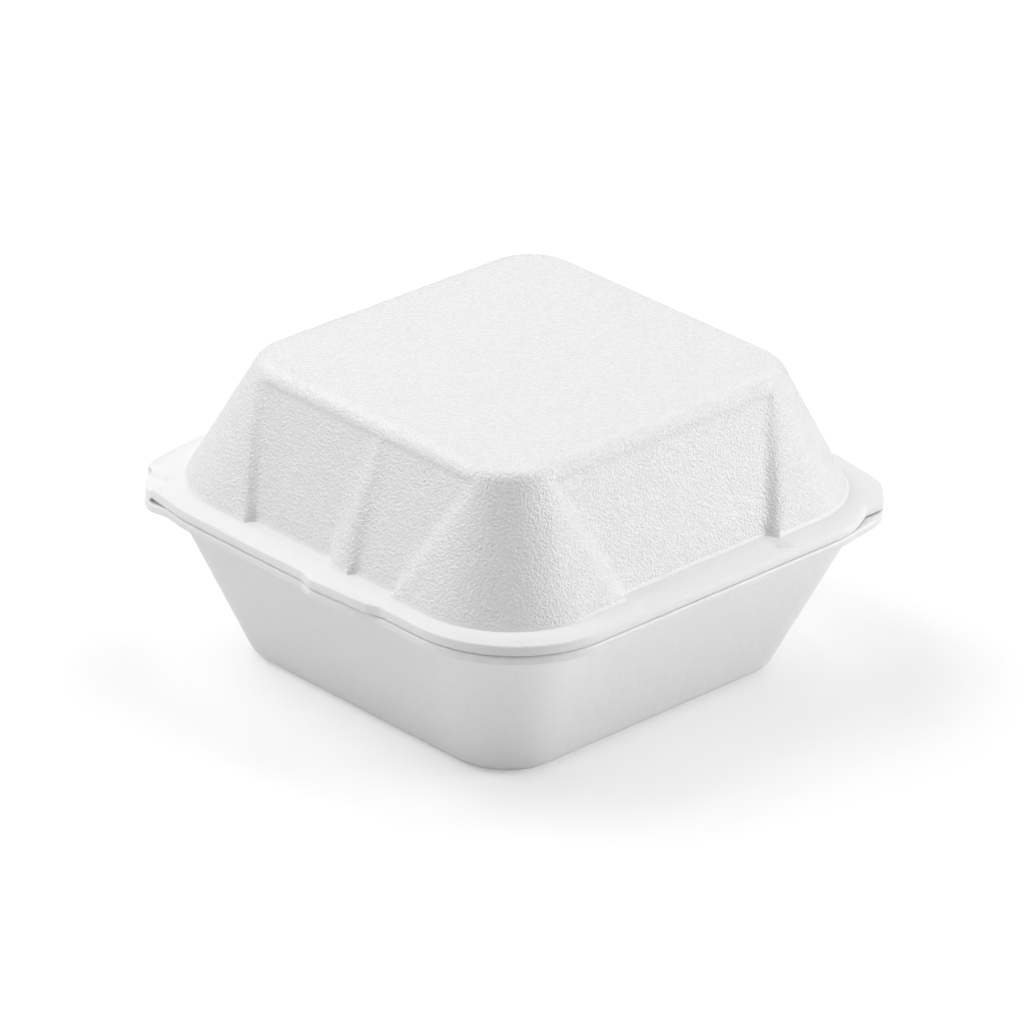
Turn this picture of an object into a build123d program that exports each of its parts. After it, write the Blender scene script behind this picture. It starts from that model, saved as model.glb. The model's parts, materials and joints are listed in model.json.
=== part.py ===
from build123d import *
import math
import os

# A hinged food box pressed from one sheet of white polystyrene foam, shown closed.
# Millimetres. +Z is up, the front with the thumb tab faces -Y and the fold is at the back, at +Y.
# The origin is the middle of the flat underside of the tray.

# Foam sheet
wall = 2.3
lid_rim_thickness = 2.6
tray_rim_thickness = 2.2
fold_thickness = 0.7

# Tray, outside sizes
floor_width = 101.4
floor_depth = 104.4
floor_corner = 17.0
floor_fillet = 5.0
mouth_width = 135.9
mouth_depth = 139.1
mouth_corner = 22.0
base_height = 44.8

# Lid, outside sizes. Its foot is where the walls reach the raised ledge of the rim.
foot_width = 131.8
foot_depth = 137.0
foot_corner = 27.5
top_width = 96.8
top_depth = 103.0
top_corner = 13.4
top_fillet = 4.5
overall_height = 82.3

# Rim edges, measured from the middle of the box
rim_right = 72.0
rim_left = 72.0
rim_back = 73.4
rim_front = 73.2
rim_front_wide = 74.6
rim_corner = 31.0
rim_edge_slope = 0.45
seat_gap = 0.4

# Ears on two corners of the rim: the sides lean in over ear_run, and the end cuts off ear_cut
ear_run = 30.0
ear_lean = 2.8
ear_cut = 12.0
ear_round = 13.0
ear_blend = 40.0

# Step that the lid's rim has beside its back ear
step_back = 16.8
step_in = 4.6
step_blend_run = 9.0
step_blend = 24.0
step_crease = 1.5

# Raised ledge that runs round the foot of the lid
ledge_rise = 0.6
ledge_margin = 0.8
ledge_corner = 32.0
ledge_setback = 3.2
ledge_setback_half = 23.0

# Thumb tab on the front rim
tab_left = 5.5
tab_right = 28.0
tab_reach = 1.4
tab_slant = 4.0

# Recessed side panels of the lid, between the corner flutes
panel_depth_foot = 3.0
short_panel_depth_foot = 2.0
panel_depth_top = 0.6
panel_half_foot = 25.2
panel_half_top = 38.0
panel_start_drop = 4.0
panel_side_slope = 35.0
panel_top_slope = 50.0
panel_crease = 1.2

# Rib that stands in the front panel
rib_centre_foot = 6.3
rib_centre_top = 5.2
rib_width_foot = 11.5
rib_width_top = 2.4
rib_soft_slope = 60.0

# Fold
fold_reach = 1.3

# How far a cutting block runs on past what it cuts
cut_past = 7.0

# Levels and lines that follow from the sizes above
lid_bottom = base_height + seat_gap
rim_top = lid_bottom + lid_rim_thickness
ledge_top = rim_top + ledge_rise
fold_level = (base_height + lid_bottom) / 2
fold_line = rim_back + fold_reach


def rounded_frustum(low_level, low, high_level, high):
    """Solid between two rounded rectangles, each given as width, depth and corner radius."""
    low_section = Plane.XY.offset(low_level) * RectangleRounded(*low)
    high_section = Plane.XY.offset(high_level) * RectangleRounded(*high)
    return loft([low_section, high_section], ruled=True)


def between(level, low_level, low, high_level, high):
    """Section of such a frustum at any level, also beyond its ends."""
    share = (level - low_level) / (high_level - low_level)
    return tuple(a + (b - a) * share for a, b in zip(low, high))


def inset(section, distance):
    """The same section moved inwards all round."""
    width, depth, corner = section
    return (width - 2 * distance, depth - 2 * distance, corner - distance)


def sideways(run, rise):
    """Level distance across the sheet in a wall that leans by run over rise."""
    return wall * math.hypot(1, run / rise)


# Lid form

def lid_section(level):
    foot = (foot_width, foot_depth, foot_corner)
    top = (top_width, top_depth, top_corner)
    return between(level, ledge_top, foot, overall_height, top)


def panel_cutter(angle, foot_half, top_half, depth_foot, left, right, depth_inwards):
    """Tapered block that presses one panel into a side of the lid, depth_foot deep at its foot.

    left and right give the panel's edges as (place at the foot, place at the top, slope of the side).
    depth_inwards moves the floor and the sides on by the sheet, for the inner face.
    """
    start = overall_height - panel_start_drop
    share = (start - ledge_top) / (overall_height - ledge_top)
    start_half = foot_half + (top_half - foot_half) * share - panel_depth_top
    run = foot_half - depth_foot - start_half
    rise = start - ledge_top
    length = math.hypot(run, rise)
    normal = Vector(rise / length, 0, run / length)
    floor = Plane(Vector(foot_half - depth_foot, 0, ledge_top), x_dir=(0, 1, 0), z_dir=normal)
    floor = floor.offset(-depth_inwards)
    reach = depth_foot + depth_inwards + cut_past
    low = -reach

    def spread(height, slope):
        lean = math.radians(slope)
        return height * math.tan(lean) + depth_inwards * (1 - math.sin(lean)) / math.cos(lean)

    def outline(height):
        high = length + spread(height, panel_top_slope)
        edges = []
        for place_foot, place_top, slope, way in ((*left, -1), (*right, 1)):
            lean = (place_top - place_foot) / length
            out = way * spread(height, slope)
            edges.append([(place_foot + lean * y + out, y) for y in (low, high)])
        (left_low, left_high), (right_low, right_high) = edges
        return Polygon(left_low, right_low, right_high, left_high, align=None)

    block = loft([floor * outline(0), floor.offset(reach) * outline(reach)], ruled=True)
    pressed_face = block.faces().sort_by_distance(floor.origin)[0]
    creases = pressed_face.edges().sort_by(Axis.Z)[1:]
    block = fillet(creases, panel_crease + depth_inwards)
    return Rot(0, 0, angle) * block


def lid_panels(depth_inwards):
    """The blocks of all four sides. The front one is in two parts, with the rib left between them."""
    rib_half_foot = rib_width_foot / 2
    rib_half_top = rib_width_top / 2
    outer_left = (-panel_half_foot, -panel_half_top, panel_side_slope)
    outer_right = (panel_half_foot, panel_half_top, panel_side_slope)
    rib_left = (rib_centre_foot - rib_half_foot, rib_centre_top - rib_half_top, rib_soft_slope)
    rib_right = (rib_centre_foot + rib_half_foot, rib_centre_top + rib_half_top, panel_side_slope)
    across = (foot_width / 2, top_width / 2, panel_depth_foot)
    along = (foot_depth / 2, top_depth / 2, panel_depth_foot)
    along_short = (foot_depth / 2, top_depth / 2, short_panel_depth_foot)
    return [
        panel_cutter(0, *across, outer_left, outer_right, depth_inwards),
        panel_cutter(90, *along, outer_left, outer_right, depth_inwards),
        panel_cutter(180, *across, outer_left, outer_right, depth_inwards),
        panel_cutter(270, *along, outer_left, rib_left, depth_inwards),
        panel_cutter(270, *along_short, rib_right, outer_right, depth_inwards),
    ]


def lid_form(depth_inwards, low_level):
    """Solid of the lid's outside, or of its hollow when depth_inwards is the sheet's thickness."""
    rise = overall_height - ledge_top
    share = depth_inwards / wall
    across = sideways((foot_width - top_width) / 2, rise) * share
    high_level = overall_height - depth_inwards
    form = rounded_frustum(
        low_level, inset(lid_section(low_level), across),
        high_level, inset(lid_section(high_level), across),
    )
    upper = form.faces().sort_by(Axis.Z)[-1]
    form = fillet(upper.edges(), top_fillet - depth_inwards)
    for block in lid_panels(depth_inwards):
        form -= block
    return form


# Rims

def front_ear():
    """Corner points of the ear at the front left, from the left side to the front."""
    return [
        (-rim_left, -rim_front_wide + ear_run, ear_blend),
        (-rim_left + ear_lean, -rim_front_wide + ear_cut, ear_round),
        (-rim_left + ear_cut, -rim_front_wide + ear_lean, ear_round),
        (-rim_left + ear_run, -rim_front_wide, ear_blend),
    ]


def back_ear():
    """Corner points of the ear at the back right, from the right side to the back."""
    return [
        (rim_right, rim_back - ear_run, ear_blend),
        (rim_right - ear_lean, rim_back - ear_cut, ear_round),
        (rim_right - ear_cut, rim_back - ear_lean, ear_round),
        (rim_right - ear_run, rim_back, ear_blend),
    ]


def lid_outline():
    """Plan of the lid's rim. It has the front ear whole, and a step cuts off part of the back ear."""
    step_x = rim_right - step_in
    step_y = rim_back - step_back
    end_x, end_y, end_round = back_ear()[1]
    points = [
        *front_ear(),
        (tab_left - tab_slant, -rim_front_wide, tab_slant),
        (tab_left, -rim_front_wide - tab_reach, tab_slant),
        (tab_right - tab_slant, -rim_front - tab_reach, tab_slant),
        (tab_right, -rim_front, tab_slant),
        (rim_right, -rim_front, rim_corner),
        (rim_right, step_y - step_blend_run, step_blend),
        (step_x, step_y, step_crease),
        (step_x, end_y + end_x - step_x, step_crease),
        *back_ear()[2:],
        (-rim_left, rim_back, rim_corner),
    ]
    return plan(points)


def tray_outline():
    """Plan of the tray's rim, with both ears whole."""
    points = [
        *front_ear(),
        (tab_left - tab_slant, -rim_front_wide, tab_slant),
        (tab_left, -rim_front_wide - tab_reach, tab_slant),
        (tab_right - 2 * tab_slant, -rim_front - tab_reach, tab_slant),
        (tab_right - tab_slant, -rim_front, tab_slant),
        (rim_right, -rim_front, rim_corner),
        *back_ear(),
        (-rim_left, rim_back, rim_corner),
    ]
    return plan(points)


def plan(points):
    """Face with straight sides between points of x, y and corner radius."""
    corners = [(x, y) for x, y, radius in points]
    radii = [radius for x, y, radius in points]
    return make_face(FilletPolyline(*corners, radius=radii, close=True))


def slab(face, low_level, thickness):
    """Flat plate with its upper edge pressed to a slope."""
    plate = extrude(Plane.XY.offset(low_level) * face, amount=thickness)
    upper = plate.faces().sort_by(Axis.Z)[-1]
    return chamfer(upper.edges(), rim_edge_slope)


def ledge_outline():
    """Plan of the raised ledge. It lies just inside the rim and steps back beside the right panel."""
    left = -rim_left + ledge_margin
    right = rim_right - ledge_margin
    front = -rim_front + ledge_margin
    back = rim_back - ledge_margin
    inner = right - ledge_setback
    half = ledge_setback_half
    points = [
        (left, front, ledge_corner),
        (right, front, ledge_corner),
        (right, -half - ledge_setback, ledge_setback),
        (inner, -half, ledge_setback),
        (inner, half, ledge_setback),
        (right, half + ledge_setback, ledge_setback),
        (right, back, ledge_corner),
        (left, back, ledge_corner),
    ]
    return plan(points)


def make_lid():
    shell = lid_form(0, lid_bottom)
    shell += slab(lid_outline(), lid_bottom, lid_rim_thickness)
    shell += slab(ledge_outline(), lid_bottom, lid_rim_thickness + ledge_rise)
    return shell - lid_form(wall, lid_bottom - wall)


# Tray

def tray_section(level):
    floor = (floor_width, floor_depth, floor_corner)
    mouth = (mouth_width, mouth_depth, mouth_corner)
    return between(level, 0, floor, base_height, mouth)


def tray_form(depth_inwards, high_level):
    """Solid of the tray's outside, or of its hollow when depth_inwards is the sheet's thickness."""
    across = sideways((mouth_width - floor_width) / 2, base_height) * depth_inwards / wall
    form = rounded_frustum(
        depth_inwards, inset(tray_section(depth_inwards), across),
        high_level, inset(tray_section(high_level), across),
    )
    lower = form.faces().sort_by(Axis.Z)[0]
    return fillet(lower.edges(), floor_fillet - depth_inwards)


def make_tray():
    shell = tray_form(0, base_height)
    shell += slab(tray_outline(), base_height - tray_rim_thickness, tray_rim_thickness)
    return shell - tray_form(wall, base_height + wall)


# Fold

def make_fold():
    """The crushed strip behind the rims: two flat legs joined by a half round."""
    inner_radius = (lid_bottom - base_height) / 2
    outer_radius = inner_radius + fold_thickness
    length = 2 * (rim_left - rim_corner)
    centre = Plane.YZ.offset(-length / 2)
    middle = (fold_line, fold_level)
    ring = Pos(*middle) * (Circle(outer_radius) - Circle(inner_radius))
    half = Pos(fold_line + outer_radius, fold_level) * Rectangle(2 * outer_radius, 3 * outer_radius)
    legs = Pos(fold_line - fold_reach / 2, fold_level) * (
        Rectangle(fold_reach, 2 * outer_radius) - Rectangle(fold_reach, 2 * inner_radius)
    )
    return extrude(centre * ((ring & half) + legs), amount=length)


parts = {
    "base_tray": make_tray(),
    "lid": make_lid(),
    "hinge_strip": make_fold(),
}

os.makedirs("parts", exist_ok=True)
for name, solid in parts.items():
    export_step(solid, f"parts/{name}.step")
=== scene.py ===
# %% [markdown]
# # A foam clamshell food box
# The object is one sheet of white polystyrene foam, heated and pressed between two
# moulds into a tray and a lid that stay joined by a crushed fold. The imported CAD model
# gives every size and place. This script adds what the eye sees: the foam's pebbled
# skin, the soft fold, a pale floor and broad studio light.

# %% Load the frame and note its box
import json
import math

import bpy
from mathutils import Matrix, Vector


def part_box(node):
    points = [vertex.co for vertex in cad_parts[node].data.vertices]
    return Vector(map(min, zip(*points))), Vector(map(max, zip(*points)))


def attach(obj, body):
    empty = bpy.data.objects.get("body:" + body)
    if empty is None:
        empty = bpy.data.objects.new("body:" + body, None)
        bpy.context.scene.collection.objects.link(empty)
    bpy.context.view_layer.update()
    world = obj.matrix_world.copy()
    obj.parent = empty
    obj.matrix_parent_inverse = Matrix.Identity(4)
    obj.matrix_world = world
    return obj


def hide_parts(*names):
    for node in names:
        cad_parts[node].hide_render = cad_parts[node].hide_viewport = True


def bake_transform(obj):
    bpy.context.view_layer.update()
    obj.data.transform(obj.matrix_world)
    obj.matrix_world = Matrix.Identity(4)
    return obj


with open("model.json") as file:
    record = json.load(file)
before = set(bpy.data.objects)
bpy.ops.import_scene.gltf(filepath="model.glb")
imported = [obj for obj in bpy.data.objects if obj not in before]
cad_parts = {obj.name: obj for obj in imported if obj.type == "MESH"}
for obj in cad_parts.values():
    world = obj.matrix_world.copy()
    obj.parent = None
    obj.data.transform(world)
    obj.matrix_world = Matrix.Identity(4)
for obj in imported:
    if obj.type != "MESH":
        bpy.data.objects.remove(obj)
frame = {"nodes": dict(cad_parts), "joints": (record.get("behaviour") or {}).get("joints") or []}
scene = bpy.context.scene
scene.view_settings.view_transform = "Standard"
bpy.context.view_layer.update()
MM = 0.001


# %% [markdown]
# ## The camera
# The photograph looks at one corner of the box, from well above the rim, through a long
# lens. A camera is easiest to place by where it looks from: an azimuth and an elevation
# round a point near the middle of the box, a distance, and a small roll. The matrix is
# built from the three directions of the camera's own axes, so nothing has to be aimed
# by a constraint.

# %% Place the camera
CAMERA_AZIMUTH = 45.08
CAMERA_ELEVATION = 26.36
CAMERA_ROLL = 1.92
CAMERA_DISTANCE = 1711.65 * MM
CAMERA_LENS = 238.58
AIM_HEIGHT = 37.43 * MM
AIM_RIGHT = -0.99 * MM
AIM_UP = 1.67 * MM
SENSOR_WIDTH = 36
VIEW_DEPTH = 50


def direction(azimuth, elevation):
    """Unit vector from the box towards a place given by two angles in degrees."""
    turn, lift = math.radians(azimuth), math.radians(elevation)
    level = math.cos(lift)
    return Vector((math.sin(turn) * level, -math.cos(turn) * level, math.sin(lift)))


def place_camera():
    """The camera of the photograph, with its axes worked out from its angles."""
    back = direction(CAMERA_AZIMUTH, CAMERA_ELEVATION)
    right = Vector((0, 0, 1)).cross(back).normalized()
    up = back.cross(right)
    aim = Vector((0, 0, AIM_HEIGHT)) + AIM_RIGHT * right + AIM_UP * up
    roll = math.radians(CAMERA_ROLL)
    rolled_right = math.cos(roll) * right + math.sin(roll) * up
    rolled_up = math.cos(roll) * up - math.sin(roll) * right
    bpy.ops.object.camera_add()
    camera = bpy.context.object
    camera.name = "camera"
    axes = Matrix((rolled_right, rolled_up, back)).transposed().to_4x4()
    camera.matrix_world = Matrix.Translation(aim + CAMERA_DISTANCE * back) @ axes
    camera.data.sensor_width = SENSOR_WIDTH
    camera.data.lens = CAMERA_LENS
    camera.data.clip_end = VIEW_DEPTH
    return camera


scene.camera = place_camera()
print("camera at mm:", [round(v / MM) for v in scene.camera.location])


# %% [markdown]
# ## Colours and nodes
# Every finish below is a small network of nodes. Two helpers keep them short: one turns
# an sRGB hex colour, as a paint program shows it, into the linear values that a shader
# wants, and one adds a node with its settings and links.

# %% Helpers for colours and nodes
def linear(hex_colour):
    """Linear red, green, blue and alpha of a colour written as RRGGBB."""
    channels = [int(hex_colour[i:i + 2], 16) / 255 for i in (0, 2, 4)]
    light = [c / 12.92 if c <= 0.04045 else ((c + 0.055) / 1.055) ** 2.4 for c in channels]
    return light + [1.0]


def add(tree, kind, inputs, **settings):
    """Adds a node. Inputs are linked when they are sockets and set when they are values."""
    node = tree.nodes.new(kind)
    for name, value in settings.items():
        setattr(node, name, value)
    for name, value in inputs.items():
        if isinstance(value, bpy.types.NodeSocket):
            tree.links.new(value, node.inputs[name])
        else:
            node.inputs[name].default_value = value
    return node


def per_metre(size_mm):
    """Texture scale at which a pattern repeats about once in size_mm."""
    return 1 / (size_mm * MM)


# %% [markdown]
# ## The foam's skin
# Extruded polystyrene foam has a thin closed skin over tiny bubbles. Where the hot sheet
# is stretched over the mould, as on the lid, the bubbles print through as a fine pebbled
# grain; where it is pressed flat against the mould, as on the rims and the tray, it stays
# smooth. The grain could be an image, but noise at the real bubble size follows any
# surface and needs no unwrapping. It shades both the height and, a little, the colour,
# because a bubble near the skin scatters more light. Both the grain and the sheen of the
# stretched skin fade in above a given height, so the lid's pressed rim and ledge stay
# smooth and dull. The Bevel node rounds the shading of the crisp edges a little.

# %% Foam materials
BUBBLE_MM = 0.65
BUBBLE_DETAIL = 2.0
BUBBLE_ROUGHNESS = 0.55
NOISE_MIDDLE = 0.5
GRAIN_FADE_MM = 0.8
GRAIN_TINT = 2.0
PRESSED_GRAIN = 0.2
PRESSED_ROUGHNESS = 0.5
RIPPLE_MM = 4.0
RIPPLE_DETAIL = 1.0
BEVEL_SAMPLES = 6
FOAM_IOR = 1.45
FOAM_GLOSS = 1.0


def make_foam(name, colour, shade, roughness, grain_mm, grain_from_mm, ripple_mm, crease_mm):
    """Pressed polystyrene foam, with a grain and a ripple of the given heights."""
    material = bpy.data.materials.new(name)
    material.use_nodes = True
    tree = material.node_tree
    tree.nodes.clear()
    place = add(tree, "ShaderNodeTexCoord", {}).outputs["Object"]
    height = add(tree, "ShaderNodeSeparateXYZ", {"Vector": place}).outputs["Z"]
    fade = {
        "Value": height,
        "From Min": grain_from_mm * MM, "From Max": (grain_from_mm + GRAIN_FADE_MM) * MM,
    }
    stretched = add(tree, "ShaderNodeMapRange", fade | {
        "To Min": PRESSED_GRAIN,
    }).outputs["Result"]
    sheen = add(tree, "ShaderNodeMapRange", fade | {
        "To Min": PRESSED_ROUGHNESS, "To Max": roughness,
    }).outputs["Result"]
    bubbles = add(tree, "ShaderNodeTexNoise", {
        "Vector": place, "Scale": per_metre(BUBBLE_MM),
        "Detail": BUBBLE_DETAIL, "Roughness": BUBBLE_ROUGHNESS,
    }).outputs["Fac"]
    centred = add(tree, "ShaderNodeMath", {
        0: bubbles, 1: NOISE_MIDDLE,
    }, operation="SUBTRACT").outputs[0]
    grain = add(tree, "ShaderNodeMath", {
        0: centred, 1: stretched,
    }, operation="MULTIPLY").outputs[0]
    ripple = add(tree, "ShaderNodeTexNoise", {
        "Vector": place, "Scale": per_metre(RIPPLE_MM), "Detail": RIPPLE_DETAIL,
    })
    patch = add(tree, "ShaderNodeMath", {
        0: grain, 1: GRAIN_TINT, 2: NOISE_MIDDLE,
    }, operation="MULTIPLY_ADD", use_clamp=True).outputs[0]
    # a Mix node for colours has them at inputs 6 and 7 and the result at output 2
    tint = add(tree, "ShaderNodeMix", {
        0: patch, 6: linear(shade), 7: linear(colour),
    }, data_type="RGBA")
    soft_creases = add(
        tree, "ShaderNodeBevel", {"Radius": crease_mm * MM}, samples=BEVEL_SAMPLES,
    )
    rippled = add(tree, "ShaderNodeBump", {
        "Height": ripple.outputs["Fac"], "Distance": ripple_mm * MM,
        "Normal": soft_creases.outputs["Normal"],
    })
    grained = add(tree, "ShaderNodeBump", {
        "Height": grain, "Distance": grain_mm * MM, "Normal": rippled.outputs["Normal"],
    })
    foam = add(tree, "ShaderNodeBsdfPrincipled", {
        "Base Color": tint.outputs[2], "Normal": grained.outputs["Normal"],
        "Roughness": sheen, "IOR": FOAM_IOR, "Specular IOR Level": FOAM_GLOSS,
    })
    add(tree, "ShaderNodeOutputMaterial", {"Surface": foam.outputs["BSDF"]})
    print(name, "with a grain", grain_mm, "mm high")
    return material


# %% The three foams
LID_FOAM = make_foam(
    "stretched_foam_skin", "f8f8f8", "ececec", roughness=0.26,
    grain_mm=0.42, grain_from_mm=48.6, ripple_mm=0.10, crease_mm=0.25,
)
TRAY_FOAM = make_foam(
    "pressed_foam_skin", "f6f6f6", "f1f1f1", roughness=0.36,
    grain_mm=0.12, grain_from_mm=0.0, ripple_mm=0.12, crease_mm=0.25,
)
FOLD_FOAM = make_foam(
    "crushed_foam_skin", "f7f7f7", "f2f2f2", roughness=0.35,
    grain_mm=0.08, grain_from_mm=0.0, ripple_mm=0.05, crease_mm=0.2,
)

FOAMS = {"lid": LID_FOAM, "base_tray": TRAY_FOAM, "hinge_strip": FOLD_FOAM}
for node, material in FOAMS.items():
    for slot in frame["nodes"][node].material_slots:
        slot.material = material


# %% [markdown]
# ## The pressed shells
# A press can't force foam into a sharp corner, so the flutes, panels and rib of the lid
# run into each other in soft bends, while the trimmed rims stay crisp. The CAD solids
# have the true form with crisp creases. A bevel would need clean edges, and the solids
# come as loose triangles. So each shell is copied, its doubles are merged, and it is
# remeshed into small squares that keep the edges. The lid is smoothed above its ledge,
# the tray hardly at all, and the flats are thinned out again.

# %% Selecting and finishing by code
def only_selected(piece):
    """Leaves one object selected and active, ready for an operator."""
    bpy.ops.object.select_all(action="DESELECT")
    piece.select_set(True)
    bpy.context.view_layer.objects.active = piece


def apply_modifier(piece, kind, **settings):
    """Adds a modifier with its settings and applies it at once."""
    only_selected(piece)
    modifier = piece.modifiers.new(kind.lower(), kind)
    for name, value in settings.items():
        setattr(modifier, name, value)
    bpy.ops.object.modifier_apply(modifier=modifier.name)


# %% Copy a solid and make it squares
SQUARE = 0.45 * MM
REMESH_DEPTH = 9
MERGE_DISTANCE = 0.001 * MM


def copy_solid(node, name):
    """A merged copy of a CAD solid, remeshed into squares of one size."""
    only_selected(frame["nodes"][node])
    bpy.ops.object.duplicate()
    shell = bpy.context.object
    shell.name = name
    shell.parent = None
    only_selected(shell)
    bpy.ops.object.mode_set(mode="EDIT")
    bpy.ops.mesh.select_all(action="SELECT")
    bpy.ops.mesh.remove_doubles(threshold=MERGE_DISTANCE)
    bpy.ops.object.mode_set(mode="OBJECT")
    share = max(shell.dimensions) / (SQUARE * 2 ** REMESH_DEPTH)
    apply_modifier(
        shell, "REMESH", mode="SHARP", octree_depth=REMESH_DEPTH, scale=share,
        sharpness=1.0, use_remove_disconnected=False,
    )
    print(name, "has", len(shell.data.polygons), "squares")
    return shell


# %% Soften and thin a shell
SHARE_STEPS = 8
TOP_SHARE = 0.25
TRIANGLES = 185000
SHELL_SMOOTH_ANGLE = 50


def soften(shell, passes, low, high, over):
    """Smooths what lies above low, at full strength up to high and weakly above that."""
    group = shell.vertex_groups.new(name="soft")
    steps = [[] for _ in range(SHARE_STEPS + 1)]
    for vertex in shell.data.vertices:
        rise = min(max((vertex.co.z - low) / over, 0), 1)
        fall = min(max((high - vertex.co.z) / over, TOP_SHARE), 1)
        steps[round(min(rise, fall) * SHARE_STEPS)].append(vertex.index)
    for step, members in enumerate(steps):
        if step:
            group.add(members, step / SHARE_STEPS, "REPLACE")
    apply_modifier(shell, "SMOOTH", factor=0.5, iterations=passes, vertex_group="soft")


def thin(shell):
    """Takes triangles off the flats until the shell has the wanted number."""
    shell.data.calc_loop_triangles()
    apply_modifier(shell, "DECIMATE", ratio=TRIANGLES / len(shell.data.loop_triangles))
    only_selected(shell)
    bpy.ops.object.shade_smooth_by_angle(angle=math.radians(SHELL_SMOOTH_ANGLE))
    shell.data.calc_loop_triangles()
    print(shell.name, "has", len(shell.data.loop_triangles), "triangles")


# %% [markdown]
# ## Handled foam
# A thin sheet never comes flat out of the press: its walls are a little uneven. The
# pictured box has also been handled: the front left ear of the lid is creased along its
# diagonal, with its front half pushed down, and the tray's ear under it droops. The
# unevenness is a displacement by soft clouds. A dent is best made as by hand, with a
# move that fades out with distance.

# %% Uneven walls
PRESS_MARK_SIZE = 5 * MM


def press_marks(shell, height):
    """Shifts the softened part of a shell in and out by a few hundredths of a millimetre."""
    clouds = bpy.data.textures.new(shell.name + "_clouds", "CLOUDS")
    clouds.noise_scale = PRESS_MARK_SIZE
    apply_modifier(
        shell, "DISPLACE", texture=clouds, texture_coords="LOCAL", strength=height,
        mid_level=0.5, vertex_group="soft",
    )


# %% Dents
def push(shell, inside, move, reach):
    """Moves the vertices that pass the test, and what lies round them less and less."""
    only_selected(shell)
    for part in (shell.data.polygons, shell.data.edges, shell.data.vertices):
        part.foreach_set("select", [False] * len(part))
    chosen = 0
    for vertex in shell.data.vertices:
        vertex.select = inside(vertex.co / MM)
        chosen += vertex.select
    bpy.ops.object.mode_set(mode="EDIT")
    bpy.ops.mesh.select_mode(type="VERT")
    bpy.ops.transform.translate(
        value=move, use_proportional_edit=True, proportional_edit_falloff="SMOOTH",
        proportional_size=reach,
    )
    bpy.ops.object.mode_set(mode="OBJECT")
    print(shell.name, "pushed at", chosen, "places")


# %% Where the front left ears are, in mm
LID_RIM_TOP = 48.0
LID_EAR_X = -58
LID_EAR_Y = -66
CREASE_OFFSET = 0.5
NOTCH_OFFSET = 1.0
NOTCH_WIDTH = 0.8
NOTCH_START = -130
TRAY_RIM_UNDERSIDE = 42
TRAY_EAR_INNER = -57
TRAY_EAR_START = -125


def front_half_of_lid_ear(place):
    """The half of the lid's ear in front of the crease along its diagonal."""
    on_rim = place.z < LID_RIM_TOP and place.x < LID_EAR_X and place.y < LID_EAR_Y
    return on_rim and place.y - place.x < CREASE_OFFSET


def lid_ear_notch(place):
    """The narrow strip where the crease runs out at the ear's tip."""
    beside_crease = abs(place.y - place.x - NOTCH_OFFSET) < NOTCH_WIDTH
    return place.z < LID_RIM_TOP and beside_crease and place.x + place.y < NOTCH_START


def tray_ear(place):
    """The tray's ear under it."""
    in_corner = place.x < TRAY_EAR_INNER and place.y < TRAY_EAR_INNER
    return place.z > TRAY_RIM_UNDERSIDE and in_corner and place.x + place.y < TRAY_EAR_START


# %% Dress a shell
def dress(shell, body, node, material):
    """Gives a shell its foam and its body, and hides the CAD node that it replaces."""
    shell.data.materials.clear()
    shell.data.materials.append(material)
    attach(shell, body)
    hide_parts(node)


# %% Make and dress the lid
WALL_FOOT = 49.0 * MM
WALL_TOP = 78.5 * MM
EAR_DROP = 1.3 * MM
NOTCH_DEPTH = 0.8 * MM

lid_shell = copy_solid("lid", "lid_shell")
soften(lid_shell, passes=110, low=WALL_FOOT, high=WALL_TOP, over=2.4 * MM)
press_marks(lid_shell, height=0.16 * MM)
push(lid_shell, front_half_of_lid_ear, (0, 0, -EAR_DROP), reach=1.4 * MM)
push(lid_shell, lid_ear_notch, (NOTCH_DEPTH, NOTCH_DEPTH, 0), reach=1.6 * MM)
thin(lid_shell)
dress(lid_shell, "lid", "lid", LID_FOAM)

# %% Make and dress the tray
TRAY_EAR_SHIFT = 0.2 * MM

tray_shell = copy_solid("base_tray", "tray_shell")
soften(tray_shell, passes=2, low=0, high=WALL_TOP, over=1 * MM)
press_marks(tray_shell, height=0.10 * MM)
push(tray_shell, tray_ear, (-TRAY_EAR_SHIFT, -TRAY_EAR_SHIFT, -EAR_DROP), reach=8 * MM)
thin(tray_shell)
dress(tray_shell, "tray", "base_tray", TRAY_FOAM)


# %% [markdown]
# ## The fold
# The hinge of such a box is only a line along the back where the foam is crushed thin.
# Closed, the thin strip doubles back on itself from the tray's rim to the lid's; open,
# it lies almost flat between them. It is made flat along the tray's rim, spun half a
# turn round the hinge line and extruded onto the lid's rim.

# %% Model the fold
FOLD_THICKNESS = 0.7 * MM
FOLD_SPIN_STEPS = 10
FOLD_SMOOTH_ANGLE = 40
hinge_line = Vector(frame["joints"][0]["pos_m"])
fold_low, fold_high = (Vector(corner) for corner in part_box("hinge_strip"))


def select_edges(mesh, wanted):
    """Selects the edges whose middle passes the test, and nothing else."""
    bpy.ops.object.mode_set(mode="OBJECT")
    for part in (mesh.polygons, mesh.edges, mesh.vertices):
        part.foreach_set("select", [False] * len(part))
    for edge in mesh.edges:
        middle = sum((mesh.vertices[i].co for i in edge.vertices), Vector()) / 2
        edge.select = wanted(middle)
    bpy.ops.object.mode_set(mode="EDIT")


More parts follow.
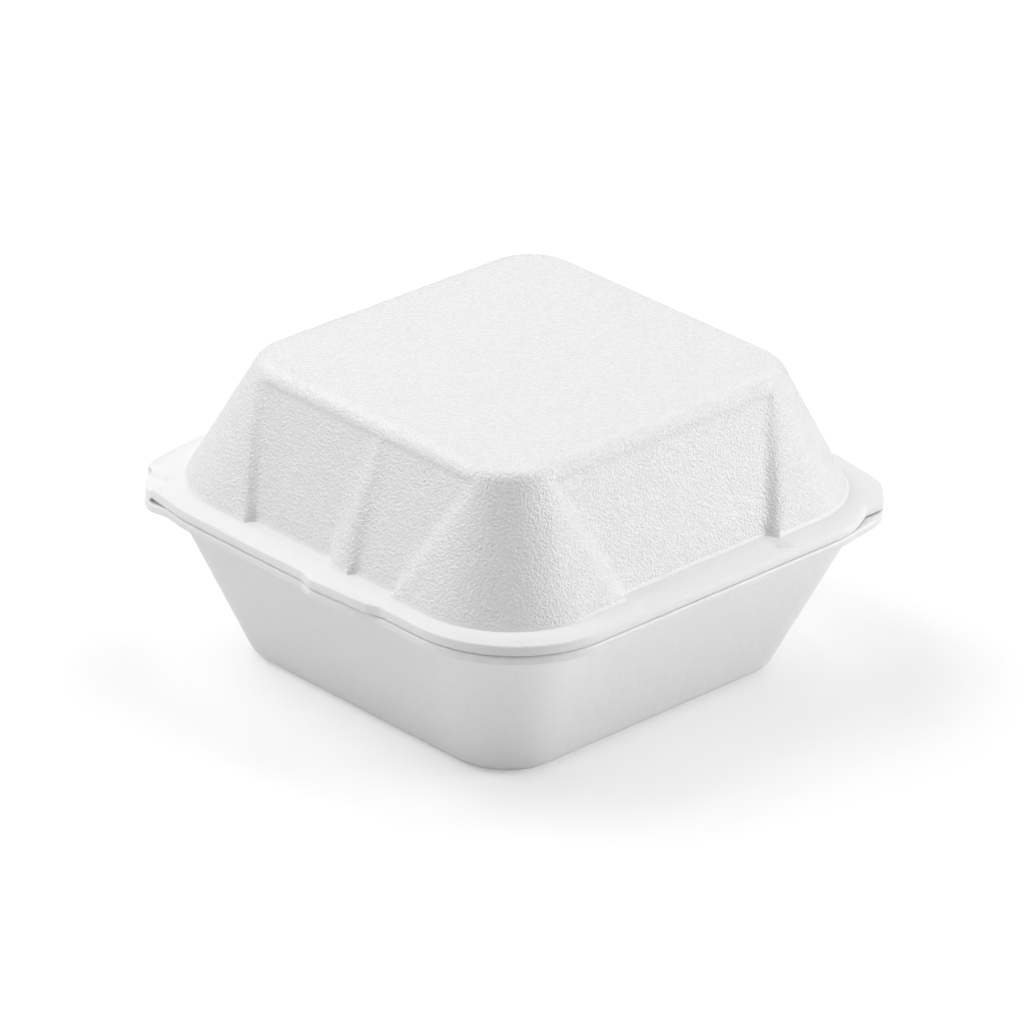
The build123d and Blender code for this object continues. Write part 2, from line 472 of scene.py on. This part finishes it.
def make_fold():
    """A strip on the tray's rim, spun half a turn and drawn out onto the lid's rim."""
    leg_height = fold_low.z + FOLD_THICKNESS / 2
    leg = hinge_line.y - fold_low.y
    bpy.ops.object.select_all(action="DESELECT")
    bpy.ops.mesh.primitive_plane_add(size=1, location=(0, hinge_line.y - leg / 2, leg_height))
    fold = bpy.context.object
    fold.name = "crushed_fold"
    fold.scale = (fold_high.x - fold_low.x, leg, 1)
    only_selected(fold)
    bpy.ops.object.transform_apply(location=True, rotation=True, scale=True)
    bpy.ops.object.mode_set(mode="EDIT")
    bpy.ops.mesh.select_mode(type="EDGE")
    tiny = leg / 100
    lid_leg_height = fold_high.z - FOLD_THICKNESS / 2
    select_edges(fold.data, lambda middle: middle.y > hinge_line.y - tiny)
    bpy.ops.mesh.spin(
        steps=FOLD_SPIN_STEPS, angle=math.pi, center=hinge_line, axis=(1, 0, 0),
    )
    select_edges(fold.data, lambda middle: middle.z > lid_leg_height - tiny)
    bpy.ops.mesh.extrude_region_move(TRANSFORM_OT_translate={"value": (0, -leg, 0)})
    bpy.ops.mesh.select_all(action="SELECT")
    bpy.ops.mesh.subdivide(number_cuts=1)
    bpy.ops.mesh.remove_doubles(threshold=MERGE_DISTANCE)
    bpy.ops.mesh.normals_make_consistent(inside=False)
    bpy.ops.object.mode_set(mode="OBJECT")
    apply_modifier(fold, "SOLIDIFY", thickness=FOLD_THICKNESS, offset=0)
    only_selected(fold)
    bpy.ops.object.shade_smooth_by_angle(angle=math.radians(FOLD_SMOOTH_ANGLE))
    fold.data.materials.append(FOLD_FOAM)
    print("fold size in mm", [round(v / MM, 2) for v in fold.dimensions])
    return fold


# %% Make the fold and hide the CAD strip
fold = make_fold()
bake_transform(fold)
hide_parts("hinge_strip")


# %% [markdown]
# ## Floor and light
# The photograph is a cut-out on white, with a soft shadow where the tray meets the
# table. A pale floor catches that shadow; the camera sees it lifted towards white, while
# the foam gets its true bounce. Foam scatters light so well that only broad sources
# leave its faces as even as they are here, so the lamps are large soft boxes above and
# to the sides, and the side that faces the camera is left a little darker.

# %% Floor
FLOOR_SIZE = 12.0
FLOOR_LIFT = 0.35


def make_floor():
    """A wide table that goes over into white."""
    bpy.ops.object.select_all(action="DESELECT")
    bpy.ops.mesh.primitive_plane_add(size=FLOOR_SIZE)
    floor = bpy.context.object
    floor.name = "floor"
    material = bpy.data.materials.new("white_table")
    material.use_nodes = True
    tree = material.node_tree
    tree.nodes.clear()
    matt = add(tree, "ShaderNodeBsdfDiffuse", {"Color": linear("f8f8f8")})
    seen = add(tree, "ShaderNodeLightPath", {})
    shaded = add(tree, "ShaderNodeBsdfDiffuse", {"Color": linear("e1e1e1")})
    lift = add(tree, "ShaderNodeEmission", {
        "Color": linear("ffffff"), "Strength": FLOOR_LIFT,
    })
    lifted = add(tree, "ShaderNodeAddShader", {
        0: shaded.outputs["BSDF"], 1: lift.outputs["Emission"],
    })
    surface = add(tree, "ShaderNodeMixShader", {
        "Fac": seen.outputs["Is Camera Ray"],
        1: matt.outputs["BSDF"], 2: lifted.outputs["Shader"],
    })
    add(tree, "ShaderNodeOutputMaterial", {"Surface": surface.outputs["Shader"]})
    floor.data.materials.append(material)
    print("floor", FLOOR_SIZE, "m wide")


make_floor()


# %% Soft boxes
LAMP_DISTANCE = 1.6
LAMP_SIZE = 1.0
SOFT_BOXES = (
    ("right_low", 135, 10, 17.0),
    ("right_high", 135, 60, 3.0),
    ("front_low", 45, 10, 1.0),
    ("front_left", 0, 35, 2.6),
    ("left", -45, 35, 5.3),
    ("left_high", -45, 60, 8.4),
    ("far_left", -90, 45, 6.3),
    ("back_high", 180, 60, 6.2),
)


def soft_box(name, azimuth, elevation, power):
    """Square area lamp that faces the box, from two angles in degrees."""
    bpy.ops.object.light_add(type="AREA")
    lamp = bpy.context.object
    lamp.name = name
    lamp.data.size = LAMP_SIZE
    lamp.data.energy = power
    away = direction(azimuth, elevation)
    lamp.location = Vector((0, 0, AIM_HEIGHT)) + LAMP_DISTANCE * away
    lamp.rotation_euler = away.to_track_quat("Z", "Y").to_euler()
    print(name, power, "W")


for name, azimuth, elevation, power in SOFT_BOXES:
    soft_box(name, azimuth, elevation, power)


# %% Sky
def white_sky():
    """A sky that gives no light of its own and looks white to the camera and in shine."""
    world = bpy.data.worlds.new("sky")
    scene.world = world
    world.use_nodes = True
    tree = world.node_tree
    tree.nodes.clear()
    path = add(tree, "ShaderNodeLightPath", {})
    sharp = add(tree, "ShaderNodeMath", {
        0: path.outputs["Is Camera Ray"], 1: path.outputs["Is Glossy Ray"],
    }, operation="MAXIMUM")
    clear = add(tree, "ShaderNodeMath", {
        0: sharp.outputs[0], 1: path.outputs["Is Transmission Ray"],
    }, operation="MAXIMUM")
    dark = add(tree, "ShaderNodeBackground", {"Color": linear("ffffff"), "Strength": 0.0})
    white = add(tree, "ShaderNodeBackground", {"Color": linear("ffffff"), "Strength": 1.0})
    seen = add(tree, "ShaderNodeMixShader", {
        "Fac": clear.outputs[0], 1: dark.outputs[0], 2: white.outputs[0],
    })
    add(tree, "ShaderNodeOutputWorld", {"Surface": seen.outputs["Shader"]})
    print("sky", world.name)


white_sky()
